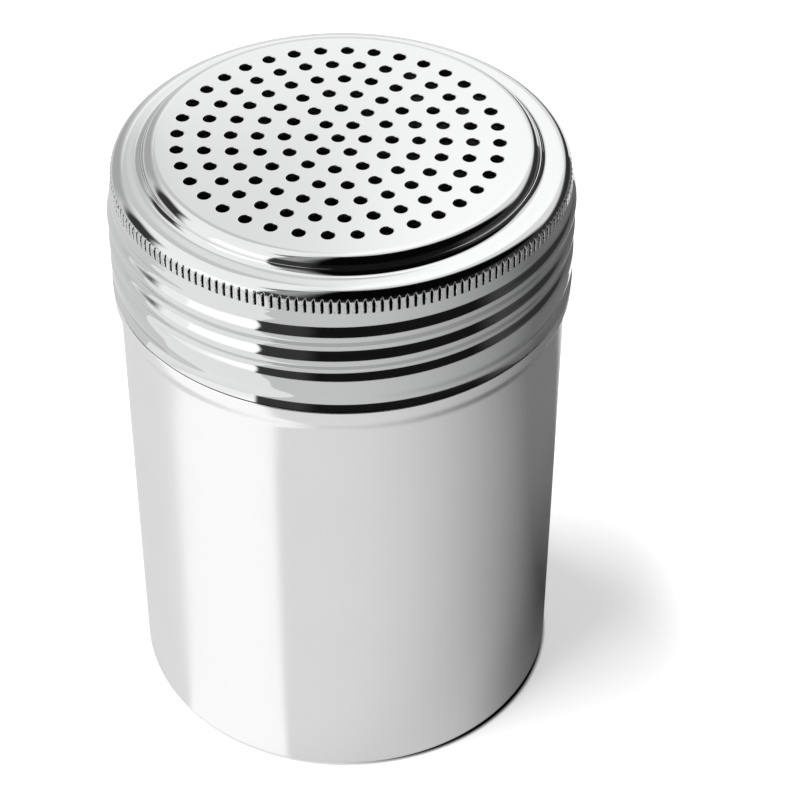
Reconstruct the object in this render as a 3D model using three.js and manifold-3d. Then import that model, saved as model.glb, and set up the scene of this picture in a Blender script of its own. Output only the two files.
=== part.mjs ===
// Restaurant spice shaker: a deep-drawn stainless can and a one-piece screw lid with a perforated deck.
// Millimetres, +Z up. The origin is the centre of the circle that the can stands on, and the front
// of the shaker, where the thread crests were measured, faces -Y.

import * as THREE from 'three';
import { mergeGeometries, mergeVertices } from 'three/addons/utils/BufferGeometryUtils.js';
import Module from 'manifold-3d';

const wasm = await Module();
wasm.setup();

// Sizes that both pieces share
const overallHeight = 98.5;
const sheet = 0.5;
const seatGap = 0.3;
const aroundCount = 36;
const arcStep = 1.4;
const fewestArcSteps = 2;
const quarter = Math.PI / 2;
const cutOverrun = 1;

// Rolled thread, right-handed, with a crest at crestHeight on the front of the shaker
const threadPitch = 4.2;
const crestDrop = 3.95;
const threadRowStep = 0.95;
const frontAngle = -quarter;

// Lid, from the deck outwards and down
const rimWidth = 6.5;
const deckDrop = 2.2;
const stepTilt = 75 * Math.PI / 180;
const deckRollShare = 0.45;
const shoulderDrop = 0.1;
const shoulderRoll = 1.78;
const shoulderRollDrop = 1.6;
const lidHeight = 22.3;

const knurlDrop = 1;
const knurlHeight = 2.2;
const knurlCount = 180;
const knurlDepth = 0.3;

const lidThreadDepth = 0.87;
const lidThreadLand = 0.85;
const lidThreadRise = 1.4;
const lidThreadEndRise = 4.25;
const lidThreadFade = 3.1;
const waistDepth = 0.4;
const waistHeight = 1.5;
const edgeFlare = 0.43;

// Perforations: concentric rings, one pitch apart, ring n holding six times n holes. The punched
// pattern stands a little to the left and back of the axis.
const holeMargin = 3.75;
const holeDiameter = 2;
const holeRings = 6;
const holesPerRing = 6;
const holeSides = 8;
const holePhase = -2 * Math.PI / 180;
const patternShiftX = -0.45;
const patternShiftY = 0.25;

// Can
const canRadius = 33.65;
const baseCorner = 3;
const footWidth = 2.2;
const panelRise = 1.5;
const panelSlope = 1.6;
const beadProud = 0.85;
const beadBlend = 2.8;
const beadFlat = 1.4;
const beadRound = 0.5;
const neckFillet = 0.9;
const neckThreadDepth = 0.8;
const neckThreadFade = 2.2;
const neckThreadLand = 2.4;
const liftClearance = 0.4;

// Places worked out from the sizes above
const lidEdgeHeight = overallHeight - lidHeight;
const deckFlatRadius = canRadius - rimWidth;
const holePitch = (deckFlatRadius - holeMargin) / holeRings;
const stepBend = deckDrop / (1 - Math.cos(stepTilt));
const deckRoll = deckRollShare * stepBend;
const stepFillet = stepBend - deckRoll;
const stepOuterRadius = deckFlatRadius + stepBend * Math.sin(stepTilt);
const stepHeight = overallHeight - deckDrop;
const shoulderHeight = stepHeight - shoulderDrop;
const knurlRadius = canRadius;
const shoulderRadius = knurlRadius - shoulderRoll;
const knurlTop = shoulderHeight - knurlDrop;
const knurlBottom = knurlTop - knurlHeight;
const crestHeight = knurlBottom - crestDrop;
const lidThreadTop = knurlBottom - lidThreadLand;
const lidThreadEnd = lidEdgeHeight + lidThreadEndRise;
const lidCrestRadius = knurlRadius + lidThreadDepth;
const waistRadius = lidCrestRadius - waistDepth;

const mouthHeight = shoulderHeight - sheet - seatGap;
const beadTop = lidEdgeHeight - seatGap;
const beadRadius = canRadius + beadProud;
const neckCrestRadius = knurlRadius - sheet - liftClearance;
const neckRadius = neckCrestRadius - neckThreadDepth;
const neckThreadTop = mouthHeight - neckThreadLand;
const neckThreadBottom = beadTop + neckFillet + neckThreadLand;

// Outline helpers, in (radius, height)

const at = (radius, height) => new THREE.Vector2(radius, height);

const stepsAlong = (length) => Math.max(fewestArcSteps, Math.round(length / arcStep));

// Even shares from zero to one, both ends included
const shares = (count) => Array.from({ length: count + 1 }, (_, step) => step / count);

// Points of a circular arc about (radius, height), angles from the +radius direction
function arc(radius, height, size, fromAngle, toAngle) {
  const count = stepsAlong(size * Math.abs(toAngle - fromAngle));
  return shares(count).map((share) => {
    const angle = THREE.MathUtils.lerp(fromAngle, toAngle, share);
    return at(radius + size * Math.cos(angle), height + size * Math.sin(angle));
  });
}

// Points of a smooth S from one radius and height to another
function blend(fromRadius, fromHeight, toRadius, toHeight) {
  const count = stepsAlong(Math.abs(toHeight - fromHeight));
  return shares(count).map((share) => {
    const radius = THREE.MathUtils.lerp(fromRadius, toRadius, THREE.MathUtils.smoothstep(share, 0, 1));
    return at(radius, THREE.MathUtils.lerp(fromHeight, toHeight, share));
  });
}

// The line of points moved sideways by one distance and mitred at each corner. Its first point stays on
// the axis, and its last is trimmed level with the edge that it came from.
function offsetOutline(points, distance) {
  const directions = points.slice(1).map((point, index) => point.clone().sub(points[index]).normalize());
  const last = points.length - 1;
  return points.map((point, index) => {
    const before = directions[Math.max(index - 1, 0)];
    const after = directions[Math.min(index, last - 1)];
    const side = at(-before.y - after.y, before.x + after.x).normalize();
    const mitre = side.x * -after.y + side.y * after.x;
    const moved = point.clone().addScaledVector(side, distance / mitre);
    if (index === 0) return at(0, moved.y);
    return index === last ? moved.addScaledVector(before, (point.y - moved.y) / before.y) : moved;
  });
}

// Sheet metal turned about Z from its outer line, which runs from the axis to the free edge
function spunSheet(outer, inwards) {
  const inner = offsetOutline(outer, inwards * sheet);
  const outline = inwards < 0 ? [...inner, ...outer.toReversed()] : [...outer, ...inner.toReversed()];
  return new THREE.LatheGeometry(outline, aroundCount).rotateX(quarter);
}

// Meshes and solids

// One closed mesh with shared corners, without the triangles that shrink to nothing on the axis
function weld(geometry) {
  const bare = geometry.clone();
  bare.deleteAttribute('normal');
  bare.deleteAttribute('uv');
  const merged = mergeVertices(bare);
  const corners = Array.from(merged.index.array);
  const kept = [];
  for (let first = 0; first < corners.length; first += 3) {
    const [a, b, c] = corners.slice(first, first + 3);
    if (a !== b && b !== c && c !== a) kept.push(a, b, c);
  }
  merged.setIndex(kept);
  return merged;
}

function solidOf(geometry) {
  const welded = weld(geometry);
  const vertProperties = new Float32Array(welded.attributes.position.array);
  const triVerts = new Uint32Array(welded.index.array);
  return new wasm.Manifold(new wasm.Mesh({ numProp: 3, vertProperties, triVerts }));
}

function geometryOf(solid) {
  const mesh = solid.getMesh();
  const geometry = new THREE.BufferGeometry();
  geometry.setAttribute('position', new THREE.BufferAttribute(new Float32Array(mesh.vertProperties), 3));
  geometry.setIndex(new THREE.BufferAttribute(new Uint32Array(mesh.triVerts), 1));
  geometry.computeVertexNormals();
  return geometry;
}

// Moves every corner of a turned sheet outwards by shift(angle, height), so both faces move alike
function shapeRound(geometry, shift) {
  const place = geometry.attributes.position;
  for (let index = 0; index < place.count; index += 1) {
    const [x, y, z] = [place.getX(index), place.getY(index), place.getZ(index)];
    const radius = Math.hypot(x, y);
    const wider = radius > 0 ? (radius + shift(Math.atan2(y, x), z)) / radius : 1;
    place.setXY(index, x * wider, y * wider);
  }
  return geometry;
}

// One on the helix of the crests and zero on the helix of the grooves, a cosine in between
function threadWave(angle, height) {
  const turns = (height - crestHeight) / threadPitch - (angle - frontAngle) / (2 * Math.PI);
  return (1 + Math.cos(2 * Math.PI * turns)) / 2;
}

// Heights of the rows that carry a thread, from its top to its bottom
function threadRows(top, bottom) {
  const count = Math.ceil((top - bottom) / threadRowStep);
  return shares(count).map((share) => THREE.MathUtils.lerp(top, bottom, share));
}

// Lid

// Radius of the skirt where the thread has not pressed it in
function skirtRadius(height) {
  const share = THREE.MathUtils.smoothstep(lidThreadTop - height, 0, lidThreadRise);
  return THREE.MathUtils.lerp(knurlRadius, lidCrestRadius, share);
}

// The grooves press the skirt in to the radius of the knurled band, and fade out above the lower edge
function skirtGroove(angle, height) {
  const fade = THREE.MathUtils.smoothstep(height, lidThreadEnd, lidThreadEnd + lidThreadFade);
  return (knurlRadius - skirtRadius(height)) * fade * (1 - threadWave(angle, height));
}

function lidOutline() {
  return [
    at(0, overallHeight),
    ...arc(deckFlatRadius, overallHeight - deckRoll, deckRoll, quarter, quarter - stepTilt),
    ...arc(stepOuterRadius, stepHeight + stepFillet, stepFillet, 3 * quarter - stepTilt, 3 * quarter).slice(1),
    ...shares(stepsAlong(shoulderRoll)).map((share) => at(
      shoulderRadius + shoulderRoll * Math.sin(share * quarter),
      shoulderHeight - shoulderRollDrop * (1 - Math.cos(share * quarter)),
    )),
    at(knurlRadius, knurlBottom),
    ...threadRows(lidThreadTop, lidThreadEnd).map((height) => at(skirtRadius(height), height)),
    ...blend(lidCrestRadius, lidThreadEnd - lidThreadLand, waistRadius, lidEdgeHeight + waistHeight),
    ...shares(stepsAlong(waistHeight)).slice(1).map((share) => at(
      waistRadius + edgeFlare * share ** 2,
      lidEdgeHeight + waistHeight * (1 - share),
    )),
  ];
}

// Punches for the deck, one at the centre and the rest on their rings
function holePunches() {
  const length = sheet + 2 * cutOverrun;
  const punch = new THREE.CylinderGeometry(holeDiameter / 2, holeDiameter / 2, length, holeSides);
  punch.rotateX(quarter).translate(patternShiftX, patternShiftY, overallHeight - sheet / 2);
  const punches = [punch];
  for (let ring = 1; ring <= holeRings; ring += 1) {
    const count = ring * holesPerRing;
    for (let hole = 0; hole < count; hole += 1) {
      const angle = holePhase + hole / count * 2 * Math.PI;
      const radius = ring * holePitch;
      punches.push(punch.clone().translate(radius * Math.cos(angle), radius * Math.sin(angle), 0));
    }
  }
  return mergeGeometries(punches);
}

// Three-sided cutters whose inner edge draws the bottom of each knurl notch
function knurlCutters() {
  const size = 2 * knurlDepth;
  const cutter = new THREE.CylinderGeometry(size, size, knurlHeight, 3).rotateX(quarter);
  cutter.rotateZ(-quarter);
  cutter.computeBoundingBox();
  const reach = knurlRadius - knurlDepth - cutter.boundingBox.min.x;
  cutter.translate(reach, 0, knurlBottom + knurlHeight / 2);
  const cutters = [];
  for (let notch = 0; notch < knurlCount; notch += 1) {
    cutters.push(cutter.clone().rotateZ((notch + 0.5) / knurlCount * 2 * Math.PI));
  }
  return mergeGeometries(cutters);
}

function lidGeometry() {
  const shell = shapeRound(weld(spunSheet(lidOutline(), -1)), skirtGroove);
  return geometryOf(solidOf(shell).subtract(solidOf(holePunches())).subtract(solidOf(knurlCutters())));
}

// Can

// The ridges of the neck stand under the crests of the lid and die out at both ends
function neckRidge(angle, height) {
  const fadeTop = THREE.MathUtils.smoothstep(neckThreadTop - height, 0, neckThreadFade);
  const fadeBottom = THREE.MathUtils.smoothstep(height - neckThreadBottom, 0, neckThreadFade);
  return neckThreadDepth * fadeTop * fadeBottom * threadWave(angle, height);
}

function canOutline() {
  const footOuter = canRadius - baseCorner;
  const footInner = footOuter - footWidth;
  const beadShelf = beadTop - beadRound;
  return [
    at(0, panelRise),
    at(footInner - panelSlope, panelRise),
    at(footInner, 0),
    ...arc(footOuter, baseCorner, baseCorner, -quarter, 0),
    ...blend(canRadius, beadShelf - beadFlat - beadBlend, beadRadius, beadShelf - beadFlat),
    ...arc(beadRadius - beadRound, beadShelf, beadRound, 0, quarter),
    ...arc(neckRadius + neckFillet, beadTop + neckFillet, neckFillet, 3 * quarter, 2 * quarter),
    ...threadRows(neckThreadTop, neckThreadBottom).toReversed().map((height) => at(neckRadius, height)),
    at(neckRadius, mouthHeight),
  ];
}

function canGeometry() {
  return geometryOf(solidOf(shapeRound(weld(spunSheet(canOutline(), 1)), neckRidge)));
}

// Pieces, each with its own finish

const satinSteel = new THREE.MeshStandardMaterial({ color: 0xc9c9c7, roughness: 0.32, metalness: 1 });
const polishedSteel = new THREE.MeshStandardMaterial({ color: 0xd6d6d4, roughness: 0.1, metalness: 1 });

const can = new THREE.Mesh(canGeometry(), satinSteel);
can.name = 'can';

const lid = new THREE.Mesh(lidGeometry(), polishedSteel);
lid.name = 'perforated_lid';

const shaker = new THREE.Group();
shaker.add(can, lid);

export default shaker;
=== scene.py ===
"""Restaurant spice shaker: its finished surfaces, the studio round it and the camera.

The shaker is two pieces of stainless sheet. The can is deep drawn and satin polished, and the screw lid
is stamped, perforated, knurled and rolled, and polished brighter. Both are turned forms, so every
surface is a profile in (radius, height) carried round the Z axis, pressed in or out by formulas of the
angle and the height. Lengths are metres, and MM turns a size in millimetres into metres.
"""
import logging
import math
from collections.abc import Callable
from dataclasses import dataclass, field
from enum import Enum

import bpy
import numpy as np
from mathutils import Matrix, Vector
from mathutils.geometry import delaunay_2d_cdt


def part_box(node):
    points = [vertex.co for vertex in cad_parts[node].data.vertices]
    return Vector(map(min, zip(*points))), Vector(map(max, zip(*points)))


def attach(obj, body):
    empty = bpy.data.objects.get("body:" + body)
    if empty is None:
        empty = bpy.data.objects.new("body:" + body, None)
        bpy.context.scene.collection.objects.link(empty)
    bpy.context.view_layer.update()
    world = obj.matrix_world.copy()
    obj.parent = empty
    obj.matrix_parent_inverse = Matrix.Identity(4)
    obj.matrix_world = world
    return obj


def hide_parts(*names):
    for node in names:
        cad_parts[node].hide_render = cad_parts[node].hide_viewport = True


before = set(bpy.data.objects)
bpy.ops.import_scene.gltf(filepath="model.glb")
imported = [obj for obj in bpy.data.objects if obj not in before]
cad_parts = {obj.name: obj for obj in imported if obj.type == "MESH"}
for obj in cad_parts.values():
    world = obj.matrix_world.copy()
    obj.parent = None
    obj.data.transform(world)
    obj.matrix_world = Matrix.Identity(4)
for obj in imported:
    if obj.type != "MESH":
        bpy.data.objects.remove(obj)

LOG = logging.getLogger("spice_shaker")

MM = 0.001
TURN = 2 * math.pi
COLUMNS = 360
WELD = 1e-8
SHARP_EDGE = math.radians(38)
WALL_RADIUS = 33.65 * MM
WHITE = (1, 1, 1, 1)
LEVEL = (1, 1, 0)

Shift = Callable[[np.ndarray, np.ndarray], np.ndarray]
Node = bpy.types.Node
Socket = bpy.types.NodeSocket
Tree = bpy.types.NodeTree


class Inside(Enum):
    """Which side of a profile's direction the inner face of the sheet lies on."""

    RIGHT = 1
    LEFT = -1


def linear(code: str) -> tuple[float, float, float, float]:
    """Turns an sRGB hex colour into the linear colour that shaders take.

    Args:
        code: The colour as #RRGGBB.

    Returns:
        Linear red, green and blue, and an alpha of one.
    """
    values = [int(code[start:start + 2], 16) / 255 for start in (1, 3, 5)]
    red, green, blue = ((v / 12.92 if v <= 0.04045 else ((v + 0.055) / 1.055) ** 2.4) for v in values)
    return red, green, blue, 1.0


def add_node(
    tree: Tree, kind: str, inputs: dict[int | str, object] | None = None, **settings: object
) -> Node:
    """Adds one node with its settings, and links or sets its inputs.

    Args:
        tree: The node tree that gets the node.
        kind: The node's type name.
        inputs: For each input's name or place, a socket to link or a value to set.
        settings: The node's own attributes.

    Returns:
        The new node.
    """
    node = tree.nodes.new(kind)
    for name, value in settings.items():
        setattr(node, name, value)
    for key, value in (inputs or {}).items():
        if isinstance(value, Socket):
            tree.links.new(value, node.inputs[key])
        else:
            node.inputs[key].default_value = value
    return node


def by_ray(tree: Tree, other: Node, metal: Node, camera: Node) -> Node:
    """Shows one shader to the camera, one to polished metal and one to everything else.

    Args:
        tree: The node tree that gets the nodes.
        other: The shader that matt surfaces see.
        metal: The shader that glossy rays see.
        camera: The shader that the camera sees.

    Returns:
        The node whose first output is the whole.
    """
    path = add_node(tree, "ShaderNodeLightPath")
    indirect = add_node(
        tree, "ShaderNodeMixShader",
        {0: path.outputs["Is Glossy Ray"], 1: other.outputs[0], 2: metal.outputs[0]},
    )
    return add_node(
        tree, "ShaderNodeMixShader",
        {0: path.outputs["Is Camera Ray"], 1: indirect.outputs[0], 2: camera.outputs[0]},
    )


def cleared(owner: bpy.types.Material | bpy.types.World) -> Tree:
    """Turns on the nodes of a material or a world and empties them."""
    owner.use_nodes = True
    owner.node_tree.nodes.clear()
    return owner.node_tree


def level_way(turn: float) -> tuple[float, float, float]:
    """The level direction that lies turn degrees from +X."""
    return math.cos(math.radians(turn)), math.sin(math.radians(turn)), 0


def even_angles(count: int) -> np.ndarray:
    """The angles of count even columns round the axis, in radians."""
    return np.arange(count) / count * TURN


def on_circle(size: float, angles: np.ndarray) -> np.ndarray:
    """Points (size cos a, size sin a) of a circle round zero, as rows of two."""
    return size * np.stack([np.cos(angles), np.sin(angles)], axis=1)


def smoothstep(value: np.ndarray, low: float, high: float) -> np.ndarray:
    """The cubic 3t^2 - 2t^3 of the share t that value has come from low to high.

    Args:
        value: Where the step is read.
        low: Where the step starts.
        high: Where the step ends.

    Returns:
        Zero at low and below, one at high and above.
    """
    share = np.clip((value - low) / (high - low), 0, 1)
    return share * share * (3 - 2 * share)


def line(start: tuple[float, float], end: tuple[float, float], count: int) -> np.ndarray:
    """Even points on a straight stretch of profile, both ends included.

    Args:
        start: Radius and height of the first point.
        end: Radius and height of the last point.
        count: The number of steps.

    Returns:
        The points as rows of (radius, height).
    """
    share = np.linspace(0, 1, count + 1)[:, None]
    return np.asarray(start) + share * (np.asarray(end) - np.asarray(start))


def arc(centre: tuple[float, float], size: float, start: float, end: float, count: int) -> np.ndarray:
    """Points on a circular stretch of profile: centre + size * (cos a, sin a).

    Args:
        centre: Radius and height of the arc's centre.
        size: The arc's own radius.
        start: The first angle in degrees, from the +radius direction.
        end: The last angle in degrees.
        count: The number of steps.

    Returns:
        The points as rows of (radius, height).
    """
    return np.asarray(centre) + on_circle(size, np.radians(np.linspace(start, end, count + 1)))


def blend(start: tuple[float, float], end: tuple[float, float], count: int) -> np.ndarray:
    """Points on an S: the height runs evenly and the radius follows a smoothstep of it.

    Args:
        start: Radius and height of the first point.
        end: Radius and height of the last point.
        count: The number of steps.

    Returns:
        The points as rows of (radius, height).
    """
    share = np.linspace(0, 1, count + 1)
    radius = start[0] + (end[0] - start[0]) * smoothstep(share, 0, 1)
    return np.stack([radius, start[1] + (end[1] - start[1]) * share], axis=1)


def joined(*stretches: np.ndarray) -> np.ndarray:
    """Stretches of profile in one line, with each repeated point kept once.

    Args:
        stretches: The stretches in order, as rows of (radius, height).

    Returns:
        The whole line as rows of (radius, height).
    """
    points = np.concatenate(stretches)
    apart = np.linalg.norm(np.diff(points, axis=0), axis=1) > WELD
    return points[np.concatenate([[True], apart])]


def offset(points: np.ndarray, thickness: float, inside: Inside) -> np.ndarray:
    """The inner face of a sheet: each corner moves along its mitre by thickness / cos(half the bend).

    Args:
        points: The outer face as rows of (radius, height).
        thickness: The thickness of the sheet.
        inside: The side of the profile's direction that the inner face lies on.

    Returns:
        The inner face, row by row, with its last point level with the outer one.
    """
    steps = np.diff(points, axis=0)
    steps /= np.linalg.norm(steps, axis=1)[:, None]
    before = np.concatenate([steps[:1], steps])
    after = np.concatenate([steps, steps[-1:]])
    along = before + after
    along /= np.linalg.norm(along, axis=1)[:, None]
    side = np.stack([along[:, 1], -along[:, 0]], axis=1) * inside.value
    cosine = np.abs(side[:, 0] * after[:, 1] - side[:, 1] * after[:, 0])
    inner = points + side * (thickness / cosine)[:, None]
    inner[-1] += steps[-1] * (points[-1, 1] - inner[-1, 1]) / steps[-1, 1]
    return inner


def carried_round(profile: np.ndarray, angles: np.ndarray, shift: Shift | None = None) -> np.ndarray:
    """A turned surface: (r cos a, r sin a, z), with r = profile radius + shift(a, z).

    Args:
        profile: Rows of (radius, height).
        angles: The angles of the columns, in radians.
        shift: A formula that moves the surface outwards, if there is one.

    Returns:
        The grid of points, rows by columns by three.
    """
    radius, height = profile[:, :1], profile[:, 1:]
    angle = angles[None, :]
    if shift is not None:
        radius = radius + shift(angle, height)
    grid = np.broadcast_arrays(radius * np.cos(angle), radius * np.sin(angle), height)
    return np.stack(grid, axis=-1)


@dataclass
class Surface:
    """Points and triangles gathered for one closed mesh.

    Args:
        name: The name of the piece.
    """

    name: str
    points: list[np.ndarray] = field(default_factory=list)
    triangles: list[np.ndarray] = field(default_factory=list)
    count: int = 0

    def add(self, points: np.ndarray, triangles: np.ndarray) -> None:
        """Takes in points of any grid shape and triangles that number them from zero."""
        flat = points.reshape(-1, 3)
        self.points.append(flat)
        self.triangles.append(triangles.reshape(-1, 3) + self.count)
        self.count += len(flat)

    def add_grid(self, grid: np.ndarray, flip: bool = False) -> None:
        """Adds a grid that closes round on itself: two triangles between rows i, i+1 and columns j, j+1.

        Args:
            grid: Rows by columns by three.
            flip: Whether the faces turn over.
        """
        rows, columns = grid.shape[:2]
        row, column = np.meshgrid(np.arange(rows - 1), np.arange(columns), indexing="ij")
        right = (column + 1) % columns
        here, after = row * columns, (row + 1) * columns
        corner = [here + column, here + right, after + right, after + column]
        faces = np.stack([corner[0], corner[1], corner[2], corner[0], corner[2], corner[3]], axis=-1)
        faces = faces.reshape(-1, 3)
        self.add(grid, faces[:, ::-1] if flip else faces)

    def add_stitch(self, coarse: np.ndarray, fine: np.ndarray, flip: bool = False) -> None:
        """Joins a ring to one with a whole multiple of its points, by two fans for each coarse step.

        Args:
            coarse: The ring with fewer points.
            fine: The ring with more points, where every m-th faces a coarse one.
            flip: Whether the faces turn over.
        """
        few, many = len(coarse), len(fine)
        ratio = many // few
        step = np.arange(many)
        nearest = ((step % ratio) * 2 >= ratio) + step // ratio
        fans = np.stack([nearest % few, few + step, few + (step + 1) % many], axis=-1)
        middle = few + (np.arange(few) * ratio + (ratio + 1) // 2) % many
        bridge = np.stack([np.arange(few), middle, (np.arange(few) + 1) % few], axis=-1)
        faces = np.concatenate([fans, bridge])
        self.add(np.concatenate([coarse, fine]), faces[:, ::-1] if flip else faces)

    def build(self) -> bpy.types.Object:
        """Welds the points that coincide, drops triangles that vanish and makes the object.

        Returns:
            The object, smooth shaded, linked to the scene and standing at the origin.
        """
        points = np.concatenate(self.points)
        triangles = np.concatenate(self.triangles)
        _, first, places = np.unique(
            np.round(points / WELD).astype(np.int64), axis=0, return_index=True, return_inverse=True
        )
        triangles = places.reshape(-1)[triangles]
        whole = (triangles != np.roll(triangles, 1, axis=1)).all(axis=1)
        triangles = triangles[whole]
        mesh = bpy.data.meshes.new(self.name)
        mesh.vertices.add(len(first))
        mesh.vertices.foreach_set("co", points[first].astype(np.float32).ravel())
        mesh.loops.add(triangles.size)
        mesh.loops.foreach_set("vertex_index", triangles.astype(np.int32).ravel())
        mesh.polygons.add(len(triangles))
        mesh.polygons.foreach_set("loop_start", np.arange(0, triangles.size, 3, dtype=np.int32))
        mesh.polygons.foreach_set("use_smooth", np.ones(len(triangles), dtype=bool))
        mesh.update(calc_edges=True)
        mesh.set_sharp_from_angle(angle=SHARP_EDGE)
        mesh.validate()
        piece = bpy.data.objects.new(self.name, mesh)
        bpy.context.scene.collection.objects.link(piece)
        return piece


@dataclass(frozen=True)
class HelicalThread:
    """A right-handed rolled thread whose crest passes the front of the shaker at a known height.

    Args:
        pitch: The rise in one turn.
        crest: The height of a crest at the front, on -Y.
    """

    pitch: float
    crest: float

    def wave(self, angle: np.ndarray, height: np.ndarray) -> np.ndarray:
        """(1 + cos(2 pi turns)) / 2, where turns = (z - crest) / pitch - (a - front) / 2 pi.

        Args:
            angle: Angles about Z in radians.
            height: Heights in metres.

        Returns:
            One on the helix of the crests and zero on the helix of the grooves.
        """
        turns = (height - self.crest) / self.pitch - (angle + math.pi / 2) / TURN
        return (1 + np.cos(TURN * turns)) / 2


@dataclass(frozen=True)
class PaintedShade:
    """Painted shade: a dull, nearly black colour painted into fine notches and seams, where shade falls.

    Args:
        top: The height of the top of the notched band.
        bottom: The height of its bottom.
        surface: The radius of the band's surface.
        depth: The depth of the notches.
        roll: The width and the height of the quarter ellipse that the surface rolls in by.
        roll_top: The height where that ellipse starts.
        grain: How far the fine grain of the painted shade reaches up, as a share of the depth.
        grain_size: The size of that grain.
        bare: How far down the metal stays free of painted shade, as a share of the depth.
        filled: How far down the painted shade covers all of it, as a share of the depth.
        reach: How far in from the surface there is painted shade, as a share of the depth.
        colour: The colour of the painted shade as sRGB hex.
        roughness: The roughness where the shade is painted.
    """

    top: float
    bottom: float
    surface: float
    depth: float
    roll: tuple[float, float] = (0.0, 1.0)
    roll_top: float = 0.0
    grain: float = 0.0
    grain_size: float = 0.16 * MM
    bare: float = 0.08
    filled: float = 0.3
    reach: float = 1.3
    colour: str = "#141414"
    roughness: float = 0.6

    def share(self, tree: Tree, place: Socket, radius: Socket, height: Socket) -> Socket:
        """How much of the metal the painted shade covers.

        The depth is read from the rolled surface, whose radius is surface - w (1 - sqrt(1 - c^2)), where
        c is the share of the roll's height that lies under the place.

        Args:
            tree: The material's node tree.
            place: The place in object coordinates.
            radius: The distance from the axis.
            height: The height.

        Returns:
            The share, from zero to one.
        """
        width, drop = self.roll
        under = add_node(
            tree, "ShaderNodeMapRange", {0: height, 1: self.roll_top - drop, 2: self.roll_top}
        ).outputs[0]
        squared = add_node(tree, "ShaderNodeMath", {0: under, 1: under}, operation="MULTIPLY").outputs[0]
        rest = add_node(tree, "ShaderNodeMath", {0: 1.0, 1: squared}, operation="SUBTRACT").outputs[0]
        across = add_node(tree, "ShaderNodeMath", {0: rest}, operation="SQRT").outputs[0]
        rolled = add_node(
            tree, "ShaderNodeMath", {0: across, 1: width, 2: self.surface - width}, operation="MULTIPLY_ADD"
        ).outputs[0]
        speckle = add_node(
            tree, "ShaderNodeTexNoise", {"Vector": place, "Scale": 1 / self.grain_size, "Detail": 1.0}
        ).outputs["Fac"]
        span = self.grain * self.depth
        grained = add_node(
            tree, "ShaderNodeMath", {0: speckle, 1: span, 2: -span / 2}, operation="MULTIPLY_ADD"
        ).outputs[0]
        even = add_node(tree, "ShaderNodeMath", {0: rolled, 1: radius}, operation="SUBTRACT").outputs[0]
        sunk = add_node(tree, "ShaderNodeMath", {0: even, 1: grained}, operation="ADD").outputs[0]
        share = add_node(
            tree, "ShaderNodeMapRange", {0: sunk, 1: self.bare * self.depth, 2: self.filled * self.depth}
        ).outputs[0]
        inmost = self.surface - self.reach * self.depth
        for value, limit, test in (
            (radius, inmost, "GREATER_THAN"),
            (height, self.bottom, "GREATER_THAN"),
            (height, self.top, "LESS_THAN"),
        ):
            within = add_node(tree, "ShaderNodeMath", {0: value, 1: limit}, operation=test).outputs[0]
            share = add_node(tree, "ShaderNodeMath", {0: share, 1: within}, operation="MULTIPLY").outputs[0]
        return share


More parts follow.
